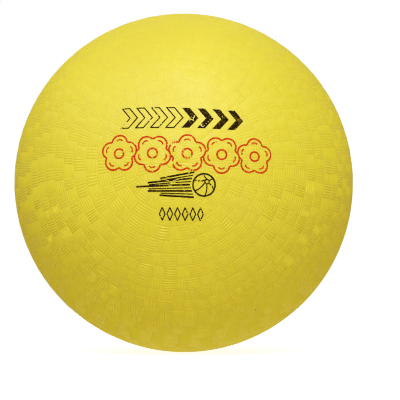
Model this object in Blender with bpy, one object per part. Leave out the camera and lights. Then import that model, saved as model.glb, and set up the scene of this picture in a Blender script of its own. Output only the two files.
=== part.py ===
"""Playground rubber ball, 8.5 in (216 mm) across: a textured rubber cover over a wound nylon
carcass and a butyl bladder, with a rubber needle valve.

Frame: the origin is the ball's centre and +Z is up. The mould axis is Y, with the printed pole at -Y
(the front) and the valve at the +Y pole (the back). Every piece is turned about that axis. Metres.
"""

import math

import bmesh
import bpy

# Ball and its three layers, from the outside inwards. Neighbouring pieces stay GAP apart.
BALL_RADIUS = 0.10795
COVER_WALL = 0.0014
WINDING_WALL = 0.0004
BLADDER_WALL = 0.0008
GAP = 0.0003

WINDING_RADIUS = BALL_RADIUS - COVER_WALL - GAP
BLADDER_RADIUS = WINDING_RADIUS - WINDING_WALL - GAP
FLANGE_SPHERE_RADIUS = BLADDER_RADIUS - BLADDER_WALL - GAP

# Facets: equal steps round the axis and from pole to pole, so that the nested layers stay parallel.
STEPS_ROUND = 40
STEPS_POLE_TO_POLE = 20
POLAR_STEP = math.pi / STEPS_POLE_TO_POLE

# Valve. Its pieces are turned with their origin at the middle of the outer face, depths running in.
VALVE_FACE_Y = 0.1075
STEM_RADIUS = 0.0055
STEM_LENGTH = 0.0125
STEM_END_CHAMFER = 0.0012
STEM_HOLE_RADIUS = STEM_RADIUS + GAP
FLANGE_EDGE_THICKNESS = 0.0005
FLANGE_ROOT_THICKNESS = 0.0012
FLANGE_FILLET = 0.0015
PLUG_RADIUS = 0.0023
PLUG_TOP_DEPTH = 0.0003
PLUG_BOTTOM_DEPTH = 0.0102
COLLAR_RADIUS = 0.0034
COLLAR_TOP_DEPTH = 0.0050
COLLAR_BOTTOM_DEPTH = 0.0066
COLLAR_CHAMFER = 0.0004
NEEDLE_HOLE_RADIUS = 0.0008
NEEDLE_FUNNEL_RADIUS = 0.0014
NEEDLE_FUNNEL_DEPTH = 0.0007
VENT_RADIUS = 0.0012
SHARP_ANGLE = math.radians(30)


def clear_scene():
    for obj in list(bpy.data.objects):
        bpy.data.objects.remove(obj, do_unlink=True)


def rubber(name, colour, roughness):
    """A Principled material of one colour, for a piece with no metal in it."""
    material = bpy.data.materials.new(name)
    material.use_nodes = True
    shader = material.node_tree.nodes["Principled BSDF"]
    shader.inputs["Base Color"].default_value = (*colour, 1.0)
    shader.inputs["Roughness"].default_value = roughness
    shader.inputs["Metallic"].default_value = 0.0
    return material


def turned(name, outline, material, centre_y=0.0):
    """A solid of revolution about the Y axis, from a list of (radius, y) points.

    A shell's outline starts and ends on the axis. A ring's outline is away from the axis and closes on
    its first point.
    """
    bm = bmesh.new()
    corners = [bm.verts.new((radius, y, 0.0)) for radius, y in outline]
    edges = [bm.edges.new(pair) for pair in zip(corners, corners[1:])]
    if outline[0][0] > 0.0:
        edges.append(bm.edges.new((corners[-1], corners[0])))
    bmesh.ops.spin(
        bm,
        geom=corners + edges,
        cent=(0.0, 0.0, 0.0),
        axis=(0.0, 1.0, 0.0),
        dvec=(0.0, 0.0, 0.0),
        angle=2.0 * math.pi,
        steps=STEPS_ROUND,
        use_merge=True,
    )
    bmesh.ops.remove_doubles(bm, verts=bm.verts, dist=1e-6)
    bmesh.ops.recalc_face_normals(bm, faces=bm.faces)

    mesh = bpy.data.meshes.new(name)
    bm.to_mesh(mesh)
    bm.free()
    mesh.shade_smooth()
    mesh.set_sharp_from_angle(angle=SHARP_ANGLE)
    mesh.materials.append(material)
    obj = bpy.data.objects.new(name, mesh)
    obj.location = (0.0, centre_y, 0.0)
    bpy.context.scene.collection.objects.link(obj)
    return obj


def half_circle(radius):
    """(radius, y) points from the -Y pole to the edge of the valve hole, in equal polar steps."""
    points = [(0.0, -radius)]
    for step in range(1, STEPS_POLE_TO_POLE):
        angle = step * POLAR_STEP
        points.append((radius * math.sin(angle), -radius * math.cos(angle)))
    points.append((STEM_HOLE_RADIUS, math.sqrt(radius**2 - STEM_HOLE_RADIUS**2)))
    return points


def hollow_ball(name, radius, wall, material):
    """A spherical layer with the round valve hole through it at the +Y pole."""
    outline = half_circle(radius) + half_circle(radius - wall)[::-1]
    return turned(name, outline, material)


def valve_housing():
    """Rubber stem through all three layers, with a flange under the bladder and a bore for the plug."""
    flange_angle = POLAR_STEP
    flange_radius = FLANGE_SPHERE_RADIUS * math.sin(flange_angle)
    flange_edge = FLANGE_SPHERE_RADIUS * math.cos(flange_angle) - VALVE_FACE_Y
    flange_root = math.sqrt(FLANGE_SPHERE_RADIUS**2 - STEM_RADIUS**2) - VALVE_FACE_Y
    under_flange = flange_root - FLANGE_ROOT_THICKNESS
    bore = PLUG_RADIUS + GAP
    groove = COLLAR_RADIUS + GAP
    bore_bottom = -(PLUG_BOTTOM_DEPTH + GAP)
    outline = [
        (bore, 0.0),
        (STEM_RADIUS, 0.0),
        (STEM_RADIUS, flange_root),
        (flange_radius, flange_edge),
        (flange_radius, flange_edge - FLANGE_EDGE_THICKNESS),
        (STEM_RADIUS + FLANGE_FILLET, under_flange),
        (STEM_RADIUS, under_flange - FLANGE_FILLET),
        (STEM_RADIUS, -STEM_LENGTH + STEM_END_CHAMFER),
        (STEM_RADIUS - STEM_END_CHAMFER, -STEM_LENGTH),
        (VENT_RADIUS, -STEM_LENGTH),
        (VENT_RADIUS, bore_bottom),
        (bore, bore_bottom),
        (bore, -(COLLAR_BOTTOM_DEPTH + GAP)),
        (groove, -(COLLAR_BOTTOM_DEPTH + GAP)),
        (groove, -(COLLAR_TOP_DEPTH - GAP)),
        (bore, -(COLLAR_TOP_DEPTH - GAP)),
    ]
    black_rubber = rubber("valve_housing_rubber", (0.035, 0.034, 0.032), 0.55)
    return turned("valve_housing", outline, black_rubber, VALVE_FACE_Y)


def valve_plug():
    """Self-sealing rubber core: a collar keeps it in the housing and a hole guides the needle."""
    outline = [
        (NEEDLE_FUNNEL_RADIUS, -PLUG_TOP_DEPTH),
        (PLUG_RADIUS, -PLUG_TOP_DEPTH),
        (PLUG_RADIUS, -COLLAR_TOP_DEPTH),
        (COLLAR_RADIUS - COLLAR_CHAMFER, -COLLAR_TOP_DEPTH),
        (COLLAR_RADIUS, -(COLLAR_TOP_DEPTH + COLLAR_CHAMFER)),
        (COLLAR_RADIUS, -(COLLAR_BOTTOM_DEPTH - COLLAR_CHAMFER)),
        (COLLAR_RADIUS - COLLAR_CHAMFER, -COLLAR_BOTTOM_DEPTH),
        (PLUG_RADIUS, -COLLAR_BOTTOM_DEPTH),
        (PLUG_RADIUS, -PLUG_BOTTOM_DEPTH),
        (NEEDLE_HOLE_RADIUS, -PLUG_BOTTOM_DEPTH),
        (NEEDLE_HOLE_RADIUS, -(PLUG_TOP_DEPTH + NEEDLE_FUNNEL_DEPTH)),
    ]
    grey_rubber = rubber("valve_plug_rubber", (0.09, 0.088, 0.083), 0.5)
    return turned("valve_plug", outline, grey_rubber, VALVE_FACE_Y)


def main():
    clear_scene()
    yellow_rubber = rubber("cover_rubber", (0.83, 0.72, 0.06), 0.48)
    nylon = rubber("winding_nylon", (0.78, 0.76, 0.70), 0.6)
    butyl = rubber("bladder_butyl", (0.045, 0.043, 0.04), 0.5)
    hollow_ball("cover", BALL_RADIUS, COVER_WALL, yellow_rubber)
    hollow_ball("nylon_winding", WINDING_RADIUS, WINDING_WALL, nylon)
    hollow_ball("bladder", BLADDER_RADIUS, BLADDER_WALL, butyl)
    valve_housing()
    valve_plug()


main()
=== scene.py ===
"""Looks of the playground rubber ball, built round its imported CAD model.

The cover gets its moulded basket weave as real geometry, with worn printing on top of the ribs. The
layers inside it and the needle valve get finer meshes of their own. Sizes come from the frame and from
the values below, in metres, with the printing's artwork drawn in millimetres. The mould axis is Y: the
printed pole faces -Y and the valve +Y.
"""

import math

import bpy
import numpy as np
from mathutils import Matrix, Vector


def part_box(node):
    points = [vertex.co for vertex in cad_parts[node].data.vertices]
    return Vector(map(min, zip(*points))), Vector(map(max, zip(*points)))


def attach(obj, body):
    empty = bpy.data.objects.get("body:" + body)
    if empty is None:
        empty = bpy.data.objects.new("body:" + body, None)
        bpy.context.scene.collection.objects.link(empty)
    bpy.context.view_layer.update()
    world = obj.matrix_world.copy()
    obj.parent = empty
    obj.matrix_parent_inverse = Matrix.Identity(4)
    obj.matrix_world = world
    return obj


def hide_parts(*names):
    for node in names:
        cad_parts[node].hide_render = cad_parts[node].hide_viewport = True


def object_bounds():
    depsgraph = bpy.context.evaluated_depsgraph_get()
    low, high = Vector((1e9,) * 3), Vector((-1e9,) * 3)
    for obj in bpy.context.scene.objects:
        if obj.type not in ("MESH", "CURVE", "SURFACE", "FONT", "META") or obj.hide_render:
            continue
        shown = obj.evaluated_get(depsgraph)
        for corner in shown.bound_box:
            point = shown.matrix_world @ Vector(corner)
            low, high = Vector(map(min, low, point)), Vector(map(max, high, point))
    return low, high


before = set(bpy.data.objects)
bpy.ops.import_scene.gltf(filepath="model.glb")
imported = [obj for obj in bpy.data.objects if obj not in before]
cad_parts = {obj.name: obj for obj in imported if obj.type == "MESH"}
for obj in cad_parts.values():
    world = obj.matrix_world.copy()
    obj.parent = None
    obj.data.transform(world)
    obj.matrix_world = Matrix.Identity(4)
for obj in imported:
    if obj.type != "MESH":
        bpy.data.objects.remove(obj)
CAD_LOW, CAD_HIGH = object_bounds()
MM = 0.001

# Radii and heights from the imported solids. The gap, the stem and the bladder's wall are as in the CAD.
BALL_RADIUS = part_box("cover")[1].x
WINDING_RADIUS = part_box("nylon_winding")[1].x
BLADDER_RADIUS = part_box("bladder")[1].x
LAYER_GAP = 0.3 * MM
COVER_INNER_RADIUS = WINDING_RADIUS + LAYER_GAP
WINDING_INNER_RADIUS = BLADDER_RADIUS + LAYER_GAP
VALVE_FACE_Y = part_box("valve_housing")[1].y
VALVE_BOTTOM_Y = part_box("valve_housing")[0].y
FLANGE_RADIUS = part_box("valve_housing")[1].x
PLUG_COLLAR_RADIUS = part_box("valve_plug")[1].x
PLUG_TOP_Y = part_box("valve_plug")[1].y
PLUG_BOTTOM_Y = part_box("valve_plug")[0].y
STEM_RADIUS = 5.5 * MM
STEM_HOLE_RADIUS = STEM_RADIUS + LAYER_GAP
BLADDER_INNER_RADIUS = BLADDER_RADIUS - 0.8 * MM

# Points per circle about the axis, and the small polar angle inside which a surface closes in a point.
SMOOTH_COLUMNS = 120
SEAM_COLUMNS = 720
BOSS_COLUMNS = 24
VALVE_COLUMNS = 96
LAYER_ROWS = 60
POINT_ANGLE = math.radians(1.0)

# The basket weave: rings of cells round each pole, whose ribs run round the ball and towards the pole
# by turns. A boss fills the printed pole, and a smooth pad takes the place of the valve's first ring.
# Each side of the cover is a cap and a belt, which meet where the ring numbered SPLIT_RING starts.
CREST_RADIUS = BALL_RADIUS - 0.05 * MM
FIRST_BORDER = math.radians(1.55)
RING_PITCH = math.radians(4.34)
FULL_RINGS = 20
VALVE_PAD_RINGS = 1
SPLIT_RING = 13
SEAM_LIP = math.radians(0.25)
CELL_LENGTH = 7.6 * MM
RIB_PITCH = 1.6 * MM
RADIAL_RIB_PITCH = 1.55 * MM
WEAVE_SEED = 7

# The relief of a cell. Depths are below the crests, which lie just inside the CAD sphere. A rib's half
# width is a share of its pitch, and the slope at its end is a share of its cell.
RIB_HEIGHT = 0.46 * MM
RIB_HALF_WIDTH = 0.3
RIB_END = 0.055
CROWN = 0.12 * MM
MOST_SUNK = 0.04 * MM
MOST_LEAN = 0.03 * MM
FLOOR_DEPTH = RIB_HEIGHT + CROWN + MOST_SUNK
BOSS_DEPTH = 0.12 * MM

# How cells differ: in the places of their borders, the skew of their ribs and the ribs' height. Ribs are
# worn lowest round one place above the printing, and get lower towards the mould's parting line.
BORDER_JITTER = 0.18
MOST_SKEW = 0.10
LOWEST_RIBS = 0.72
MOST_WORN = 0.66
WORN_PLACE = (0.0, -0.70, 0.71)
WORN_FALLOFF = 2.5
SEAM_LOSS = 0.45
SEAM_LOSS_FROM = math.radians(50)

# Printing: films on the ribs, left out where the relief is deeper than the ink reaches.
INK_LIFT = 0.035 * MM
INK_THICKNESS = 0.02 * MM
INK_STEP = 0.24 * MM
INK_DRAPE = 0.12 * MM
INK_REACH = 1.12 * FLOOR_DEPTH
INK_UNEVENNESS = 0.38
PRINT_TILT = math.radians(-1.0)
BLACK_LINE = 0.68 * MM
RED_LINE = 1.0 * MM

# A dark spot of dirt low on the right.
DIRT_SPOT = BALL_RADIUS * Vector((0.427, -0.503, -0.751)).normalized()
DIRT_SPOT_RADIUS = 0.9 * MM

# The sides of the parting line, as the sign of Y.
FRONT, BACK = -1, 1


# --- Meshes ------------------------------------------------------------------------------------------


def mesh_object(name, points, quads, triangles, material, sharp_degrees=80):
    """A smooth-shaded object from arrays of points, four-cornered faces and triangles."""
    quads = np.asarray(quads, dtype=np.int32).reshape(-1, 4)
    triangles = np.asarray(triangles, dtype=np.int32).reshape(-1, 3)
    corners = np.concatenate([quads.ravel(), triangles.ravel()])
    sizes = np.concatenate([np.full(len(quads), 4), np.full(len(triangles), 3)])
    starts = np.concatenate([[0], np.cumsum(sizes)[:-1]]).astype(np.int32)
    mesh = bpy.data.meshes.new(name)
    mesh.vertices.add(len(points))
    mesh.vertices.foreach_set("co", np.asarray(points, dtype=np.float32).ravel())
    mesh.loops.add(len(corners))
    mesh.loops.foreach_set("vertex_index", corners)
    mesh.polygons.add(len(sizes))
    mesh.polygons.foreach_set("loop_start", starts)
    mesh.update(calc_edges=True)
    mesh.shade_smooth()
    mesh.set_sharp_from_angle(angle=math.radians(sharp_degrees))
    mesh.materials.append(material)
    piece = bpy.data.objects.new(name, mesh)
    bpy.context.scene.collection.objects.link(piece)
    return piece


def add_point_values(piece, name, values):
    attribute = piece.data.attributes.new(name, "FLOAT", "POINT")
    attribute.data.foreach_set("value", np.asarray(values, dtype=np.float32))


def stand_for(piece, slot, *nodes):
    """The piece rides on the one body and may hide the CAD nodes it replaces. Its slot is not used."""
    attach(piece, "root")
    if nodes:
        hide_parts(*nodes)


def on_ball(azimuth, polar, radius, side):
    """Points at an azimuth round the mould axis, an angle from the pole on this side and a radius."""
    across = radius * np.sin(polar)
    along = side * radius * np.cos(polar)
    return np.stack([across * np.cos(azimuth), along, across * np.sin(azimuth)], axis=-1)


class Circle:
    """A closed loop of points round the mould axis, given by azimuth, polar angle and radius.

    Relief runs from 0 in the deepest grooves to 1 on the crests. Circles of one family have their points
    at matching azimuths.
    """

    def __init__(self, azimuths, polar, radius, family, relief=0.5):
        self.azimuths = np.asarray(azimuths, dtype=float)
        self.polar = np.broadcast_to(np.asarray(polar, dtype=float), self.azimuths.shape)
        self.radius = np.broadcast_to(np.asarray(radius, dtype=float), self.azimuths.shape)
        self.relief = np.broadcast_to(np.asarray(relief, dtype=float), self.azimuths.shape)
        self.family = family

    def points(self, side):
        return on_ball(self.azimuths, self.polar, self.radius, side)


def even_circle(polar, radius, columns=SMOOTH_COLUMNS, relief=0.5):
    azimuths = np.arange(columns) * (2.0 * math.pi / columns)
    return Circle(azimuths, polar, radius, ("even", columns), relief)


def turned_circle(radius_out, height, columns=SMOOTH_COLUMNS, relief=0.5):
    """The same, given by its distance from the axis and its height along it."""
    polar = math.atan2(radius_out, height)
    return even_circle(polar, math.hypot(radius_out, height), columns, relief)


def joined(a, b, first_a, first_b):
    """Faces between two circles whose points start at these indices: (quads, triangles).

    Circles of different families are joined by triangles that advance along the one that lags behind.
    """
    count_a, count_b = len(a.azimuths), len(b.azimuths)
    if a.family == b.family:
        here = np.arange(count_a)
        after = (here + 1) % count_a
        return np.column_stack([first_a + here, first_b + here, first_b + after, first_a + after]), []
    ahead = (b.azimuths - a.azimuths[0] + math.pi) % (2.0 * math.pi) - math.pi
    start_b = int(np.argmin(np.abs(ahead)))
    along_a = np.append(a.azimuths, a.azimuths[0] + 2.0 * math.pi)
    along_b = np.unwrap(a.azimuths[0] + np.roll(ahead, -start_b))
    along_b = np.append(along_b, along_b[0] + 2.0 * math.pi)
    triangles = []
    i = j = 0
    while i < count_a or j < count_b:
        corner_a = first_a + i % count_a
        corner_b = first_b + (start_b + j) % count_b
        if j == count_b or (i < count_a and along_a[i + 1] <= along_b[j + 1]):
            i += 1
            triangles.append((corner_a, corner_b, first_a + i % count_a))
        else:
            j += 1
            triangles.append((corner_a, corner_b, first_b + (start_b + j) % count_b))
    return [], triangles


def skin_of(name, circles, side, material, closes_on_axis=False, sharp_degrees=80):
    """A closed solid from circles listed in the order in which a walk round its section meets them.

    The walk goes from the pole outwards over the outer surface and back over the inner one. A piece that
    closes on the axis starts and ends in a point there; any other joins its last circle to its first.
    """
    firsts = np.concatenate([[0], np.cumsum([len(c.azimuths) for c in circles])])
    points = [circle.points(side) for circle in circles]
    relief = [circle.relief for circle in circles]
    quads, triangles = [], []
    pairs = list(zip(range(len(circles)), range(1, len(circles))))
    if not closes_on_axis:
        pairs.append((len(circles) - 1, 0))
    for here, after in pairs:
        more_quads, more_triangles = joined(circles[here], circles[after], firsts[here], firsts[after])
        quads.extend(more_quads)
        triangles.extend(more_triangles)
    if closes_on_axis:
        for index, apex, turn in ((0, firsts[-1], 1), (len(circles) - 1, firsts[-1] + 1, -1)):
            circle = circles[index]
            points.append(np.array([[0.0, side * circle.radius[0], 0.0]]))
            relief.append(circle.relief[:1])
            here = firsts[index] + np.arange(len(circle.azimuths))
            after = np.roll(here, -1)
            fan = np.column_stack([np.full(len(here), apex), here, after])
            triangles.extend(fan[:, ::turn])
    quads = np.array(quads, dtype=np.int32).reshape(-1, 4)
    triangles = np.array(triangles, dtype=np.int32).reshape(-1, 3)
    if side == BACK:
        quads, triangles = quads[:, ::-1], triangles[:, ::-1]
    piece = mesh_object(name, np.concatenate(points), quads, triangles, material, sharp_degrees)
    # The relief values are the mask for the painted shade in the cover's grooves.
    add_point_values(piece, "relief", np.concatenate(relief))
    return piece


# --- The basket weave --------------------------------------------------------------------------------


def hump(place):
    """A smooth curve along a cell: 0 at both of its ends and 1 in the middle."""
    return 4.0 * place * (1.0 - place)


def relief_at(depth):
    """From 0 at the depth of the grooves to 1 at the crests."""
    return 1.0 - depth / FLOOR_DEPTH


def samples_of(ribs):
    """Places across a cell, from 0 to 1, at both feet and the crest of each rib."""
    steps = np.array([0.5 - RIB_HALF_WIDTH, 0.5, 0.5 + RIB_HALF_WIDTH])
    return ((np.arange(ribs)[:, None] + steps) / ribs).ravel()


class WeaveRing:
    """One ring of cells between two polar angles. Even cells have ribs that run round the ball."""

    def __init__(self, low, high, side, generator):
        self.low, self.high = low, high
        middle = (low + high) / 2.0
        circumference = 2.0 * math.pi * CREST_RADIUS * math.sin(middle)
        self.cells = max(6, 2 * round(circumference / CELL_LENGTH / 2.0))
        width = 2.0 * math.pi / self.cells
        jitter = generator.uniform(-BORDER_JITTER, BORDER_JITTER, self.cells)
        self.start = generator.uniform(0.0, width)
        borders = (np.arange(self.cells) + jitter) * width
        self.borders = np.append(borders - borders[0], 2.0 * math.pi)
        self.widths = np.diff(self.borders)
        self.round_ribs = max(2, round(CREST_RADIUS * (high - low) / RIB_PITCH))
        lengths = self.widths * CREST_RADIUS * math.sin(middle)
        self.radial_ribs = np.clip(np.round(lengths / RADIAL_RIB_PITCH), 3, 6).astype(int)
        azimuths = self.start + (self.borders[:-1] + self.borders[1:]) / 2.0
        facing = Circle(azimuths, middle, 1.0, "middles").points(side)
        worn = MOST_WORN * np.clip(facing @ np.array(WORN_PLACE), 0.0, 1.0) ** WORN_FALLOFF
        near_seam = (middle - SEAM_LOSS_FROM) / (math.pi / 2.0 - SEAM_LOSS_FROM)
        lost = SEAM_LOSS * max(0.0, near_seam)
        self.strength = generator.uniform(LOWEST_RIBS, 1.0, self.cells) * (1.0 - worn) * (1.0 - lost)
        self.sunk = generator.uniform(0.0, MOST_SUNK, self.cells)
        self.lean = generator.uniform(-MOST_LEAN, MOST_LEAN, self.cells)
        self.skew = generator.uniform(-MOST_SKEW, MOST_SKEW, self.cells)

    def depth(self, cell, s, t):
        """Depth below the crests at (s, t) in a cell: s runs round the ball, t away from the pole."""
        goes_round = cell % 2 == 0
        ribs = np.where(goes_round, self.round_ribs, self.radial_ribs[cell])
        across = np.where(goes_round, t, s) * ribs % 1.0
        along = np.where(goes_round, s, t)
        rib = np.clip(1.0 - np.abs(across - 0.5) / RIB_HALF_WIDTH, 0.0, 1.0)
        foot = np.where(goes_round, 0.0, (0.5 - RIB_HALF_WIDTH) / self.round_ribs)
        rib = rib * np.clip((np.minimum(along, 1.0 - along) - foot) / RIB_END, 0.0, 1.0)
        pillow = CROWN * hump(s) * hump(t)
        lean = self.lean[cell] * (s - t) * np.sqrt(np.maximum(hump(s) * hump(t), 0.0))
        return FLOOR_DEPTH - self.sunk[cell] - RIB_HEIGHT * self.strength[cell] * rib - pillow + lean

    def columns(self):
        """(cell, s) of every column of points round the ring."""
        cells, places = [], []
        for cell in range(self.cells):
            if cell % 2 == 0:
                s = np.array([0.0, RIB_END, 0.5, 1.0 - RIB_END])
            else:
                s = samples_of(self.radial_ribs[cell])
            cells.append(np.full(len(s), cell))
            places.append(s)
        return np.concatenate(cells), np.concatenate(places)

    def circle(self, t):
        """The row of points round the ring at this share of its width."""
        cell, s = self.columns()
        goes_round = cell % 2 == 0
        shift_s = np.where(goes_round, 0.0, self.skew[cell] * (t - 0.5) * hump(s))
        shift_t = np.where(goes_round, self.skew[cell] * (s - 0.5) * hump(t), 0.0)
        azimuth = self.start + self.borders[cell] + (s + shift_s) * self.widths[cell]
        polar = self.low + (t + shift_t) * (self.high - self.low)
        depth = self.depth(cell, s, np.full(len(s), t))
        return Circle(azimuth, polar, CREST_RADIUS - depth, id(self), relief_at(depth))

    def circles(self):
        """The ring's rows of points, from the pole side outwards."""
        return [self.circle(t) for t in samples_of(self.round_ribs)]

    def depth_at(self, azimuth, polar):
        """Depth below the crests at any place on the ring."""
        along = (azimuth - self.start) % (2.0 * math.pi)
        cell = np.clip(np.searchsorted(self.borders, along, side="right") - 1, 0, self.cells - 1)
        s = (along - self.borders[cell]) / self.widths[cell]
        t = (polar - self.low) / (self.high - self.low)
        goes_round = cell % 2 == 0
        own_s = np.where(goes_round, s, s - self.skew[cell] * (t - 0.5) * hump(s))
        own_t = np.where(goes_round, t - self.skew[cell] * (s - 0.5) * hump(t), t)
        return self.depth(cell, own_s, own_t)


def weave_rings(first_ring, side, generator):
    """The rings of one half of the cover: full ones, then a narrow one that stops at the seam's lip."""
    borders = [FIRST_BORDER + ring * RING_PITCH for ring in range(FULL_RINGS + 1)]
    borders.append(math.pi / 2.0 - SEAM_LIP)
    limits = zip(borders[first_ring:], borders[first_ring + 1 :])
    return [WeaveRing(low, high, side, generator) for low, high in limits]


def inner_circles(from_polar, to_polar, radius):
    """Plain circles over a smooth inner surface, walked back towards the pole."""
    steps = max(2, round(abs(from_polar - to_polar) / RING_PITCH))
    return [even_circle(polar, radius) for polar in np.linspace(from_polar, to_polar, steps + 1)]


def seam_circles():
    """The thin raised lip at the parting line, from (angle before the seam, depth, relief)."""
    outline = [(SEAM_LIP / 2.0, FLOOR_DEPTH, 0.2), (SEAM_LIP / 4.0, 0.1 * MM, 0.7), (0.0, 0.02 * MM, 0.9)]
    return [
        even_circle(math.pi / 2.0 - before, CREST_RADIUS - depth, SEAM_COLUMNS, relief)
        for before, depth, relief in outline
    ]


def pole_boss():
    """A small round boss in the middle of the printed pole, from (depth, share of its radius)."""
    outline = [(0.06 * MM, 0.2), (0.10 * MM, 0.55), (0.20 * MM, 0.80), (FLOOR_DEPTH, 0.94)]
    return [
        even_circle(FIRST_BORDER * share, CREST_RADIUS - depth, BOSS_COLUMNS, relief_at(depth))
        for depth, share in outline
    ]


def valve_pad():
    """The rim of the valve hole and the smooth moulded pad round it, with its raised ring."""
    rim_radius, rim_depth = 0.45 * MM, 0.34 * MM
    rim_height = math.sqrt(CREST_RADIUS**2 - STEM_HOLE_RADIUS**2) - rim_depth
    circles = []
    for angle in np.linspace(0.0, math.pi / 2.0, 5):
        across = STEM_HOLE_RADIUS + rim_radius * (1.0 - math.cos(angle))
        height = rim_height - rim_radius * (1.0 - math.sin(angle))
        circles.append(turned_circle(across, height, relief=0.2))
    outline = [(6.9, 0.33), (8.35, 0.33), (8.6, 0.27), (8.8, 0.12), (9.1, 0.08), (9.4, 0.12)]
    outline += [(9.6, 0.27), (9.85, 0.34), (10.6, FLOOR_DEPTH / MM)]
    for across, depth in np.array(outline) * MM:
        polar = math.asin(across / CREST_RADIUS)
        circles.append(even_circle(polar, CREST_RADIUS - depth, relief=relief_at(depth)))
    return circles


def build_cover(material):
    """Both halves of the cover, each as a cap round its pole and a belt next to the seam."""
    generator = np.random.default_rng(WEAVE_SEED)
    front = weave_rings(0, FRONT, generator)
    back = weave_rings(VALVE_PAD_RINGS, BACK, generator)
    split = front[SPLIT_RING].low
    hole = math.asin(STEM_HOLE_RADIUS / COVER_INNER_RADIUS)
    for side, rings, start, word in (
        (FRONT, front, pole_boss(), "front"),
        (BACK, back, valve_pad(), "back"),
    ):
        inner_rings = [ring for ring in rings if ring.low < split - 1e-9]
        outer_rings = rings[len(inner_rings) :]
        shared = outer_rings[0].circle(0.0)
        cap = start + [row for ring in inner_rings for row in ring.circles()] + [shared]
        belt = [shared] + [row for ring in outer_rings for row in ring.circles()] + seam_circles()
        on_axis = side == FRONT
        last = POINT_ANGLE if on_axis else hole
        cap += inner_circles(split, last, COVER_INNER_RADIUS)
        belt += inner_circles(math.pi / 2.0, split, COVER_INNER_RADIUS)
        for part, circles, closes in (("cap", cap, on_axis), ("belt", belt, False)):
            piece = skin_of(f"cover_{word}_{part}", circles, side, material, closes)
            stand_for(piece, "cover", "cover")
    return front


# --- Printing ----------------------------------------------------------------------------------------


def laid_on(flat):
    """Azimuth and polar angle of artwork points, given flat, in metres right of and above the pole."""
    cosine, sine = math.cos(PRINT_TILT), math.sin(PRINT_TILT)
    right, above = np.moveaxis(flat @ np.array([[cosine, sine], [-sine, cosine]]), -1, 0)
    return np.arctan2(above, right), np.hypot(right, above) / CREST_RADIUS


def weave_depth(rings, flat):
    """Depth of the relief at artwork points."""
    azimuth, polar = laid_on(flat)
    depth = np.full(azimuth.shape, FLOOR_DEPTH)
    for ring in rings:
        here = (polar >= ring.low) & (polar < ring.high)
        if here.any():
            depth[here] = ring.depth_at(azimuth[here], polar[here])
    depth[polar < FIRST_BORDER] = BOSS_DEPTH
    return depth


def patchiness(flat):
    """A smooth, uneven field between -1 and 1 that thins the ink in places, from crossing waves."""
    x, z = flat[..., 0] / MM, flat[..., 1] / MM
    waves = np.sin(0.31 * x + 1.7 * np.sin(0.23 * z + 1.4)) + np.sin(0.83 * z - 0.57 * x + 2.1)
    waves += 0.8 * np.sin(2.3 * x + 1.1 * z) * np.sin(1.9 * z - 1.3 * x + 0.6)
    return waves / 2.8


def spaced(points, step):
    """A polyline's points, spaced evenly along it."""
    points = np.asarray(points, dtype=float)
    lengths = np.hypot(*np.diff(points, axis=0).T)
    along = np.concatenate([[0.0], np.cumsum(lengths)])
    count = max(2, int(math.ceil(along[-1] / step)) + 1)
    places = np.linspace(0.0, along[-1], count)
    return np.column_stack([np.interp(places, along, points[:, 0]), np.interp(places, along, points[:, 1])])


def stroke(points, width):
    """A grid of points over a line of this width, through points in millimetres."""
    line = spaced(np.asarray(points) * MM, INK_STEP)
    closed = np.hypot(*(line[0] - line[-1])) < 1e-6
    ahead = np.roll(line, -1, axis=0) - line
    behind = line - np.roll(line, 1, axis=0)
    if closed:
        ahead[-1], behind[0] = ahead[0], behind[-1]
    else:
        ahead[-1], behind[0] = behind[-1], ahead[0]
    ahead /= np.hypot(*ahead.T)[:, None]
    behind /= np.hypot(*behind.T)[:, None]
    normal = np.column_stack([-(ahead + behind)[:, 1], (ahead + behind)[:, 0]])
    bend = np.maximum(np.einsum("ij,ij->i", normal, normal), 1.0)
    normal *= (2.0 / bend)[:, None]
    offsets = np.linspace(-0.5, 0.5, 4) * width
    return line[:, None, :] + normal[:, None, :] * offsets[None, :, None]


def quadrangle(a, b, c, d):
    """A grid of points over a filled four-cornered shape, with its corners in millimetres."""
    a, b, c, d = (np.asarray(corner, dtype=float) * MM for corner in (a, b, c, d))
    rows = max(2, int(np.hypot(*(d - a)) / INK_STEP) + 1)
    columns = max(2, int(np.hypot(*(b - a)) / INK_STEP) + 1)
    u = np.linspace(0.0, 1.0, columns)[None, :, None]
    v = np.linspace(0.0, 1.0, rows)[:, None, None]
    return (a * (1 - u) + b * u) * (1 - v) + (d * (1 - u) + c * u) * v


def heading(degrees):
    """The unit vector at this angle from the right, turning towards the top."""
    return np.array([math.cos(math.radians(degrees)), math.sin(math.radians(degrees))])


def arc(centre, radius, start, end):
    angles = np.radians(np.linspace(start, end, max(8, int(abs(end - start) / 5))))
    return np.column_stack([centre[0] + radius * np.cos(angles), centre[1] + radius * np.sin(angles)])


def pulled_line(start, pull, end):
    """A curved line from start to end that bends towards a third point."""
    share = np.linspace(0.0, 1.0, 9)[:, None]
    towards_pull = start * (1 - share) + pull * share
    from_pull = pull * (1 - share) + end * share
    return towards_pull * (1 - share) + from_pull * share


def chevron_row():
    """Eight arrowheads in a row, the first four in outline and the others solid."""
    grids = []
    count, pitch = 8, 8.7
    width, height, depth = 4.4, 12.0, 5.0
    middle = np.array([5.6, 26.3])
    for index in range(count):
        left = middle + ((index - (count - 1) / 2.0) * pitch - width / 2.0 - depth / 2.0, 0.0)
        foot, tip, head = left + (0, -height / 2), left + (depth, 0), left + (0, height / 2)
        across = np.array([width, 0.0])
        if index < count / 2:
            outline = [foot, tip, head, head + across, tip + across, foot + across, foot]
            grids.append(stroke(outline, BLACK_LINE))
        else:
            grids.append(quadrangle(foot, foot + across, tip + across, tip))
            grids.append(quadrangle(tip, tip + across, head + across, head))
    return grids


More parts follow.
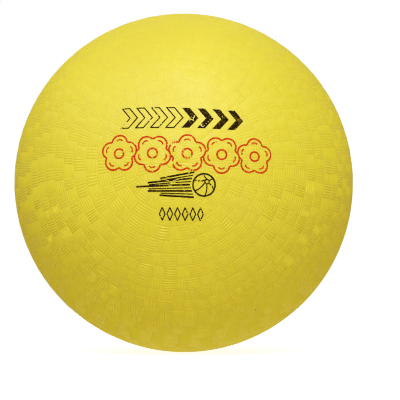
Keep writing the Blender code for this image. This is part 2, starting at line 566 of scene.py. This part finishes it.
def flower_row():
    """A chain of round-petalled flowers in outline, each in front of the one after it."""
    grids, earlier = [], []
    count, petals, pitch = 5, 5, 19.4
    petal_radius, petal_distance, heart_radius = 4.6, 5.9, 4.2
    fold_radius, fold_reach, eye_radius = 2.208, 50.0, 2.7
    middle = np.array([8.8, 5.6])
    for index in range(count):
        centre = middle + ((index - (count - 1) / 2.0) * pitch, 0.0)
        first = 90.0 if index % 2 == 0 else -90.0
        angles = [first + number * 360.0 / petals for number in range(petals)]
        places = [centre + petal_distance * heading(angle) for angle in angles]
        for number, place in enumerate(places):
            outline = spaced(arc(place, petal_radius, 0.0, 360.0), 0.2)
            shown = np.hypot(*(outline - centre).T) > heart_radius
            for other in places[:number] + places[number + 1 :] + earlier:
                shown &= np.hypot(*(outline - other).T) > petal_radius
            grids.extend(stroke(run, RED_LINE) for run in runs_of(outline, shown))
            fold = arc(place, fold_radius, angles[number] - fold_reach, angles[number] + fold_reach)
            grids.append(stroke(fold, RED_LINE * 0.8))
        grids.append(stroke(arc(centre, eye_radius, 0.0, 360.0), RED_LINE))
        earlier = places
    return grids


def runs_of(points, shown):
    """The unbroken stretches of a closed outline where shown is true."""
    if shown.all():
        return [points]
    start = int(np.argmin(shown))
    points, shown = np.roll(points[:-1], -start, axis=0), np.roll(shown[:-1], -start)
    edges = np.flatnonzero(np.diff(np.concatenate([[0], shown.astype(int), [0]])))
    return [points[a:b] for a, b in zip(edges[::2], edges[1::2]) if b - a > 3]


def bouncing_ball():
    """A small ball at the head of a fan of speed lines. Its curved seams meet in a button.

    The speed lines are longest in the middle, and every second one is short and thin.
    """
    centre, radius = np.array([18.5, -11.8]), 6.2
    button, button_radius = centre + (1.6, 1.9), 1.2
    seams, seam_turn, seam_bend = 6, 14, 0.18
    lines, gap = 9, 1.6
    head_spacing, tail_spacing = 1.75, 1.15
    grids = [stroke(arc(centre, radius, 0.0, 360.0), BLACK_LINE * 1.4)]
    grids.append(stroke(arc(button, button_radius, 0.0, 360.0), BLACK_LINE))
    for seam in range(seams):
        angle = 20 + seam * 360 // seams
        inner = button + button_radius * heading(angle)
        outer = centre + radius * heading(angle + seam_turn)
        across = np.array([-(outer - inner)[1], (outer - inner)[0]])
        pull = (inner + outer) / 2.0 + seam_bend * across
        grids.append(stroke(pulled_line(inner, pull, outer), BLACK_LINE))
    for index in range(lines):
        place, is_short = index - lines // 2, index % 2 == 1
        head = centre + (-radius - gap + abs(place) * 0.55, place * head_spacing)
        shortened = abs(place) * 3.3 + (4.0 if is_short else 0.0)
        tail = np.array([-19.5 + shortened, centre[1] - 1.5 + place * tail_spacing])
        grids.append(stroke([tail, head], BLACK_LINE * (0.9 if is_short else 1.5)))
    return grids


def diamond_row():
    """Six small diamonds in outline."""
    grids = []
    count, pitch = 6, 4.3
    half_width, half_height = 1.6, 3.6
    corners = [(-half_width, 0), (0, half_height), (half_width, 0), (0, -half_height), (-half_width, 0)]
    for index in range(count):
        middle = np.array([6.0 + (index - (count - 1) / 2.0) * pitch, -28.3])
        grids.append(stroke([middle + corner for corner in corners], BLACK_LINE))
    return grids


def without_corner_contacts(kept):
    """Fills squares of the grid until no two kept ones touch only at a corner."""
    for _ in range(4):
        falling = kept[:-1, :-1] & kept[1:, 1:] & ~kept[:-1, 1:] & ~kept[1:, :-1]
        rising = kept[:-1, 1:] & kept[1:, :-1] & ~kept[:-1, :-1] & ~kept[1:, 1:]
        kept[:-1, 1:] |= falling
        kept[:-1, :-1] |= rising
    return kept


def print_film(name, grids, rings, material, slot):
    """One colour of ink as a thin film that follows the ribs and skips the deep places."""
    points, quads, first = [], [], 0
    around = [(0.0, 0.0), (INK_DRAPE, 0.0), (-INK_DRAPE, 0.0), (0.0, INK_DRAPE), (0.0, -INK_DRAPE)]
    for flat in grids:
        azimuth, polar = laid_on(flat)
        depth = np.min([weave_depth(rings, flat + offset) for offset in around], axis=0)
        points.append(on_ball(azimuth, polar, CREST_RADIUS - depth + INK_LIFT, FRONT).reshape(-1, 3))
        reach = INK_REACH * (1.0 + INK_UNEVENNESS * patchiness(flat))
        mean_depth = (depth[:-1, :-1] + depth[1:, :-1] + depth[:-1, 1:] + depth[1:, 1:]) / 4.0
        kept = without_corner_contacts(mean_depth < (reach[:-1, :-1] + reach[1:, 1:]) / 2.0)
        index = first + np.arange(flat.shape[0] * flat.shape[1]).reshape(flat.shape[:2])
        faces = np.stack([index[:-1, :-1], index[:-1, 1:], index[1:, 1:], index[1:, :-1]], axis=-1)
        quads.append(faces[kept])
        first += index.size
    points, quads = np.concatenate(points), np.concatenate(quads)
    used, quads = np.unique(quads, return_inverse=True)
    points, quads = points[used], quads.reshape(-1, 4)
    corner = points[quads[:, 0]]
    normals = np.cross(points[quads[:, 1]] - corner, points[quads[:, 2]] - corner)
    inward = np.einsum("ij,ij->i", normals, corner) < 0.0
    quads[inward] = quads[inward][:, ::-1]
    piece = mesh_object(name, points, quads, [], material)
    film = piece.modifiers.new("film", "SOLIDIFY")
    film.thickness = INK_THICKNESS
    film.offset = -1.0
    stand_for(piece, slot)


# --- Layers inside the cover, and the valve ----------------------------------------------------------


def turned_piece(name, outline, material):
    """A closed ring-shaped solid of revolution about +Y, from (distance from the axis, y) points.

    The outline starts at the inner edge of the face and walks outwards.
    """
    circles = [turned_circle(across, y, VALVE_COLUMNS) for across, y in outline]
    return skin_of(name, circles, BACK, material, sharp_degrees=35)


def rounded(corner_points, radius):
    """An outline with each corner replaced by a short curve that starts radius away from it."""
    corner_points = [np.array(point, dtype=float) for point in corner_points]
    smooth, steps = [], 4
    for index, corner in enumerate(corner_points):
        before, after = corner_points[index - 1], corner_points[(index + 1) % len(corner_points)]
        reach = min(radius, 0.45 * np.hypot(*(before - corner)), 0.45 * np.hypot(*(after - corner)))
        start = corner + (before - corner) / np.hypot(*(before - corner)) * reach
        end = corner + (after - corner) / np.hypot(*(after - corner)) * reach
        for share in np.linspace(0.0, 1.0, steps):
            a, b = start + (corner - start) * share, corner + (end - corner) * share
            smooth.append(tuple(a + (b - a) * share))
    return smooth


def build_valve(housing_material, plug_material):
    """The housing with its flange and bore, and the plug with its collar and needle hole."""
    face, bottom = VALVE_FACE_Y, VALVE_BOTTOM_Y
    flange_sphere = BLADDER_INNER_RADIUS - LAYER_GAP
    flange_top = math.sqrt(flange_sphere**2 - FLANGE_RADIUS**2)
    flange_root = math.sqrt(flange_sphere**2 - STEM_RADIUS**2)
    bore, way_in, groove = 2.6 * MM, 1.2 * MM, PLUG_COLLAR_RADIUS + LAYER_GAP
    collar_top, collar_bottom = face - 5.0 * MM, face - 6.6 * MM
    outline = [
        (bore, face - 0.25 * MM),
        (bore + 0.7 * MM, face),
        (STEM_RADIUS, face),
        (STEM_RADIUS, flange_root - 0.05 * MM),
        (FLANGE_RADIUS, flange_top - 0.05 * MM),
        (FLANGE_RADIUS, flange_top - 0.5 * MM),
        (STEM_RADIUS + 1.5 * MM, flange_root - 1.2 * MM),
        (STEM_RADIUS, flange_root - 2.7 * MM),
        (STEM_RADIUS, bottom + 1.2 * MM),
        (STEM_RADIUS - 1.2 * MM, bottom),
        (way_in, bottom),
        (way_in, PLUG_BOTTOM_Y - LAYER_GAP),
        (bore, PLUG_BOTTOM_Y - LAYER_GAP),
        (bore, collar_bottom - LAYER_GAP),
        (groove, collar_bottom - LAYER_GAP),
        (groove, collar_top + LAYER_GAP),
        (bore, collar_top + LAYER_GAP),
    ]
    housing = turned_piece("valve_housing_stem", rounded(outline, 0.35 * MM), housing_material)
    stand_for(housing, "valve_housing", "valve_housing")

    plug, collar, hole = 2.3 * MM, PLUG_COLLAR_RADIUS, 0.8 * MM
    outline = [
        (hole, PLUG_TOP_Y - 0.75 * MM),
        (1.45 * MM, PLUG_TOP_Y - 0.1 * MM),
        (1.8 * MM, PLUG_TOP_Y),
        (plug, PLUG_TOP_Y - 0.05 * MM),
        (plug, collar_top),
        (collar, collar_top),
        (collar, collar_bottom),
        (plug, collar_bottom),
        (plug, PLUG_BOTTOM_Y),
        (hole, PLUG_BOTTOM_Y),
    ]
    core = turned_piece("valve_plug_core", rounded(outline, 0.25 * MM), plug_material)
    stand_for(core, "valve_plug", "valve_plug")


def build_layer(name, node, slot, outer, inner, material):
    """A smooth layer under the cover, closed at the printed pole and open at the valve hole."""
    hole_outer = math.pi - math.asin(STEM_HOLE_RADIUS / outer)
    hole_inner = math.pi - math.asin(STEM_HOLE_RADIUS / inner)
    circles = [even_circle(polar, outer) for polar in np.linspace(POINT_ANGLE, hole_outer, LAYER_ROWS)]
    circles += [even_circle(polar, inner) for polar in np.linspace(hole_inner, POINT_ANGLE, LAYER_ROWS)]
    piece = skin_of(name, circles, FRONT, material, closes_on_axis=True, sharp_degrees=40)
    stand_for(piece, slot, node)


# --- Materials ---------------------------------------------------------------------------------------


class Nodes:
    """Short calls for building a material's node tree."""

    def __init__(self, name):
        self.material = bpy.data.materials.new(name)
        self.material.use_nodes = True
        self.tree = self.material.node_tree
        self.shader = self.tree.nodes["Principled BSDF"]
        self.place = self.add("ShaderNodeNewGeometry").outputs["Position"]

    def add(self, kind, **values):
        node = self.tree.nodes.new(kind)
        for key, value in values.items():
            setattr(node, key, value)
        return node

    def link(self, source, target):
        self.tree.links.new(source, target)

    def put(self, socket, value):
        if isinstance(value, bpy.types.NodeSocket):
            self.link(value, socket)
        else:
            socket.default_value = value

    def noise(self, scale, detail=3.0, roughness=0.5, distortion=0.0):
        """Noise between 0 and 1 whose features have this scale, per metre of the ball."""
        node = self.add("ShaderNodeTexNoise")
        self.link(self.place, node.inputs["Vector"])
        node.inputs["Scale"].default_value = scale
        node.inputs["Detail"].default_value = detail
        node.inputs["Roughness"].default_value = roughness
        node.inputs["Distortion"].default_value = distortion
        return node.outputs["Fac"]

    def span(self, value, low, high, to_low=0.0, to_high=1.0):
        """A smooth step from to_low, at low, to to_high, at high."""
        node = self.add("ShaderNodeMapRange", interpolation_type="SMOOTHSTEP")
        self.link(value, node.inputs["Value"])
        node.inputs["From Min"].default_value = low
        node.inputs["From Max"].default_value = high
        node.inputs["To Min"].default_value = to_low
        node.inputs["To Max"].default_value = to_high
        return node.outputs["Result"]

    def math(self, operation, a, b):
        node = self.add("ShaderNodeMath", operation=operation)
        self.put(node.inputs[0], a)
        self.put(node.inputs[1], b)
        return node.outputs[0]

    def towards(self, direction, low, high):
        """From 0 to 1 as the surface faces along a direction from the ball's centre."""
        node = self.add("ShaderNodeVectorMath", operation="DOT_PRODUCT")
        self.link(self.place, node.inputs[0])
        node.inputs[1].default_value = Vector(direction).normalized() / BALL_RADIUS
        return self.span(node.outputs["Value"], low, high)

    def near(self, point, radius):
        """1 close to a point, falling to 0 at this radius."""
        node = self.add("ShaderNodeVectorMath", operation="DISTANCE")
        self.link(self.place, node.inputs[0])
        node.inputs[1].default_value = point
        return self.span(node.outputs["Value"], radius, radius / 3.0)

    def mix(self, share, a, b):
        node = self.add("ShaderNodeMix", data_type="RGBA")
        self.put(node.inputs["Factor"], share)
        self.put(node.inputs["A"], (*a, 1.0) if isinstance(a, tuple) else a)
        self.put(node.inputs["B"], (*b, 1.0) if isinstance(b, tuple) else b)
        return node.outputs["Result"]

    def bump(self, height, distance):
        node = self.add("ShaderNodeBump")
        node.inputs["Distance"].default_value = distance
        self.link(height, node.inputs["Height"])
        self.link(node.outputs["Normal"], self.shader.inputs["Normal"])

    def colour(self, value):
        self.put(self.shader.inputs["Base Color"], value)

    def roughness(self, value):
        self.put(self.shader.inputs["Roughness"], value)


def cover_rubber():
    """Bright yellow rubber: mottled, with painted shade that darkens it between the ribs, and grey scuffs
    near the seam.
    """
    n = Nodes("cover_rubber")
    relief = n.add("ShaderNodeAttribute", attribute_name="relief").outputs["Fac"]
    mottle = n.span(n.noise(14.0), 0.35, 0.65)
    yellow = n.mix(mottle, (0.735, 0.694, 0.017), (0.775, 0.740, 0.021))
    speckle = n.span(n.noise(420.0, 4.0), 0.5, 0.75, to_high=0.25)
    speckled = n.mix(speckle, yellow, (0.70, 0.55, 0.03))
    # Painted shade: the colour darkens towards the bottom of the grooves between the ribs, by the relief
    # values.
    groove = n.span(relief, 0.75, 0.0, to_high=0.18)
    groove_shaded = n.mix(groove, speckled, (0.58, 0.44, 0.025))
    off_front = n.towards((0.0, -1.0, 0.0), 0.32, 0.12)
    off_back = n.towards((0.0, 1.0, 0.0), 0.32, 0.12)
    near_seam = n.math("MULTIPLY", off_front, off_back)
    smear = n.span(n.noise(60.0, 6.0, roughness=0.65, distortion=0.6), 0.50, 0.68)
    scuffs = n.math("MULTIPLY", smear, n.math("ADD", n.math("MULTIPLY", near_seam, 0.17), 0.05))
    scuffed = n.mix(scuffs, groove_shaded, (0.46, 0.38, 0.17))
    specks = n.span(n.noise(900.0, 2.0), 0.74, 0.80, to_high=0.6)
    specked = n.mix(specks, scuffed, (0.30, 0.22, 0.05))
    n.colour(n.mix(n.near(DIRT_SPOT, DIRT_SPOT_RADIUS), specked, (0.09, 0.06, 0.01)))
    n.roughness(n.span(n.noise(90.0, 3.0), 0.3, 0.7, 0.50, 0.62))
    n.shader.inputs["Specular IOR Level"].default_value = 0.68
    n.bump(n.noise(2600.0, 3.0), 0.03 * MM)
    return n.material


def print_ink(name, colour, worn):
    """Ink that has worn thin in places, so that the yellow comes through."""
    n = Nodes(name)
    thin = n.span(n.noise(700.0, 4.0), 0.48, 0.70, to_high=0.7)
    n.colour(n.mix(thin, colour, worn))
    n.roughness(n.span(n.noise(300.0), 0.3, 0.7, 0.50, 0.65))
    n.shader.inputs["Specular IOR Level"].default_value = 0.04
    n.bump(n.noise(2600.0, 3.0), 0.02 * MM)
    return n.material


def plain_rubber(name, colour, pale, roughness):
    """Moulded rubber with a bloom of paler dust and a fine grain."""
    n = Nodes(name)
    dust = n.span(n.noise(160.0, 5.0), 0.45, 0.75, to_high=0.5)
    n.colour(n.mix(dust, colour, pale))
    n.roughness(n.span(n.noise(120.0), 0.3, 0.7, roughness - 0.06, roughness + 0.08))
    n.bump(n.noise(1800.0, 3.0), 0.03 * MM)
    return n.material


def wound_thread():
    """Nylon thread wound in crossing bands and set in latex."""
    n = Nodes("wound_thread")
    threads = []
    for turn in ((0.3, 0.2, 0.0), (1.2, -0.6, 0.5), (-0.7, 0.9, 1.1)):
        mapping = n.add("ShaderNodeMapping")
        mapping.inputs["Rotation"].default_value = turn
        n.link(n.place, mapping.inputs["Vector"])
        wave = n.add("ShaderNodeTexWave", wave_type="BANDS", bands_direction="X")
        wave.inputs["Scale"].default_value = 260.0
        wave.inputs["Distortion"].default_value = 2.5
        wave.inputs["Detail"].default_value = 2.0
        n.link(mapping.outputs["Vector"], wave.inputs["Vector"])
        threads.append(wave.outputs["Fac"])
    over = n.math("MAXIMUM", n.math("MAXIMUM", threads[0], threads[1]), threads[2])
    n.colour(n.mix(n.span(over, 0.3, 0.9), (0.42, 0.36, 0.24), (0.78, 0.75, 0.66)))
    n.roughness(n.span(n.noise(200.0), 0.3, 0.7, 0.5, 0.7))
    n.bump(over, 0.15 * MM)
    return n.material


# --- Stage -------------------------------------------------------------------------------------------

CAMERA_AZIMUTH = math.radians(3.81)
CAMERA_ELEVATION = math.radians(-5.88)
CAMERA_DISTANCE = 7.0 * BALL_RADIUS
SENSOR_WIDTH = 36.0

# The ball's width and the place of its middle, as shares of the frame's width.
BALL_WIDTH_IN_FRAME = 0.8485
BALL_OFFSET_RIGHT = -0.040
BALL_OFFSET_UP = 0.0425

FLOOR_COLUMNS = 96

# Colours of the keys, and of the fills, which stand for light that comes back from the floor.
COOL = (0.645, 0.675, 1.0)
WARM = (1.0, 0.94, 0.45)


def floor_material(colour, glow):
    """A matt board that glows, so that it looks white and still takes a faint shadow."""
    n = Nodes("floor_white")
    n.colour((*colour, 1.0))
    n.roughness(0.9)
    n.shader.inputs["Specular IOR Level"].default_value = 0.0
    n.shader.inputs["Emission Color"].default_value = (*glow, 1.0)
    n.shader.inputs["Emission Strength"].default_value = 1.0
    return n.material


def add_camera():
    """Looks at the ball from the front and slightly below its middle, with a long lens."""
    sin_a, cos_a = math.sin(CAMERA_AZIMUTH), math.cos(CAMERA_AZIMUTH)
    sin_e, cos_e = math.sin(CAMERA_ELEVATION), math.cos(CAMERA_ELEVATION)
    back = Vector((sin_a * cos_e, -cos_a * cos_e, sin_e))
    right = Vector((cos_a, sin_a, 0.0))
    up = back.cross(right)
    half_angle_tangent = BALL_RADIUS / math.sqrt(CAMERA_DISTANCE**2 - BALL_RADIUS**2)
    frame_tangent = 2.0 * half_angle_tangent / BALL_WIDTH_IN_FRAME
    frame_width = frame_tangent * CAMERA_DISTANCE
    camera = bpy.data.cameras.new("camera")
    camera.sensor_width = SENSOR_WIDTH
    camera.lens = SENSOR_WIDTH / frame_tangent
    camera.clip_start = 0.01
    camera.clip_end = 100.0
    holder = bpy.data.objects.new("camera", camera)
    holder.location = back * CAMERA_DISTANCE
    target = -(right * BALL_OFFSET_RIGHT + up * BALL_OFFSET_UP) * frame_width
    holder.rotation_euler = (target - holder.location).to_track_quat("-Z", "Y").to_euler()
    bpy.context.scene.collection.objects.link(holder)
    bpy.context.scene.camera = holder


def add_sun(name, azimuth, elevation, spread, strength, colour, shines=True):
    """A soft, even light. Azimuth 0 is in front of the printed pole and grows to the right, in degrees.

    A light that doesn't shine makes no highlights.
    """
    a, e = math.radians(azimuth), math.radians(elevation)
    light = bpy.data.lights.new(name, "SUN")
    light.angle = math.radians(spread)
    light.energy = strength
    light.color = colour
    holder = bpy.data.objects.new(name, light)
    towards = Vector((math.sin(a) * math.cos(e), -math.cos(a) * math.cos(e), math.sin(e)))
    holder.location = towards
    holder.rotation_euler = (-towards).to_track_quat("-Z", "Y").to_euler()
    holder.visible_glossy = shines
    bpy.context.scene.collection.objects.link(holder)


def add_world(seen, lighting):
    """A surround that the camera sees at one brightness and that lights the ball with another colour."""
    world = bpy.data.worlds.new("surround")
    world.use_nodes = True
    tree = world.node_tree
    background = tree.nodes["Background"]
    path = tree.nodes.new("ShaderNodeLightPath")
    level = tree.nodes.new("ShaderNodeMix")
    level.data_type = "RGBA"
    level.inputs["A"].default_value = (*lighting, 1.0)
    level.inputs["B"].default_value = (seen, seen, seen, 1.0)
    tree.links.new(path.outputs["Is Camera Ray"], level.inputs["Factor"])
    tree.links.new(level.outputs["Result"], background.inputs["Color"])
    bpy.context.scene.world = world


def add_floor(radius, colour, glow):
    """A round pale floor under the ball. It takes shadows, and the fill lights stand for its bounce."""
    angles = np.arange(FLOOR_COLUMNS) * (2.0 * math.pi / FLOOR_COLUMNS)
    level = np.full(FLOOR_COLUMNS, CAD_LOW.z)
    rim = np.column_stack([radius * np.cos(angles), radius * np.sin(angles), level])
    middle = np.array([[0.0, 0.0, CAD_LOW.z]])
    here = 1 + np.arange(FLOOR_COLUMNS)
    fan = np.column_stack([np.zeros(FLOOR_COLUMNS, dtype=int), here, np.roll(here, -1)])
    floor = mesh_object("floor", np.concatenate([middle, rim]), [], fan, floor_material(colour, glow))
    floor.visible_diffuse = False
    floor.visible_glossy = False
    floor.visible_shadow = False


def build_stage():
    """Camera, surround, floor and lights, which belong to the picture and not to the part."""
    # The standard view keeps the yellow full, and the narrow pixel filter keeps the ribs sharp.
    bpy.context.scene.view_settings.view_transform = "Standard"
    bpy.context.scene.cycles.filter_width = 1.15
    add_camera()
    add_world(seen=1.0, lighting=(0.42, 0.30, 0.225))
    add_floor(radius=6.0, colour=(0.40, 0.40, 0.40), glow=(0.78, 0.79, 0.80))
    add_sun("high_key", azimuth=2, elevation=58, spread=15, strength=0.52, colour=(0.95, 1.0, 1.0))
    add_sun("key", azimuth=2, elevation=38, spread=15, strength=1.62, colour=COOL)
    add_sun("left_key", azimuth=-55, elevation=40, spread=50, strength=0.80, colour=COOL)
    add_sun("right_key", azimuth=35, elevation=45, spread=50, strength=0.62, colour=COOL)
    add_sun("left_fill", azimuth=-45, elevation=-25, spread=50, strength=0.48, colour=WARM)
    add_sun("right_fill", azimuth=55, elevation=-25, spread=50, strength=0.65, colour=WARM)
    add_sun("low_fill", azimuth=0, elevation=-70, spread=50, strength=0.36, colour=WARM)
    add_sun("back_light", 180, elevation=40, spread=50, strength=0.9, colour=(1, 1, 1), shines=False)
    add_sun("low_back_light", 180, elevation=-38, spread=50, strength=1.1, colour=WARM, shines=False)


def build_ball():
    """All the pieces, from the cover inwards."""
    front_rings = build_cover(cover_rubber())
    black_ink = print_ink("black_ink", (0.018, 0.009, 0.001), (0.17, 0.12, 0.008))
    red_ink = print_ink("red_ink", (0.60, 0.040, 0.008), (0.72, 0.22, 0.02))
    black_marks = chevron_row() + bouncing_ball() + diamond_row()
    print_film("print_black", black_marks, front_rings, black_ink, "cover")
    print_film("print_red", flower_row(), front_rings, red_ink, "cover")
    thread = wound_thread()
    butyl = plain_rubber("butyl", (0.030, 0.028, 0.026), (0.10, 0.095, 0.085), 0.5)
    build_layer("winding_layer", "nylon_winding", "winding", WINDING_RADIUS, WINDING_INNER_RADIUS, thread)
    build_layer("bladder_skin", "bladder", "bladder", BLADDER_RADIUS, BLADDER_INNER_RADIUS, butyl)
    build_valve(
        plain_rubber("valve_black", (0.028, 0.027, 0.025), (0.09, 0.085, 0.075), 0.55),
        plain_rubber("valve_grey", (0.075, 0.073, 0.070), (0.16, 0.155, 0.14), 0.5),
    )


build_stage()
build_ball()
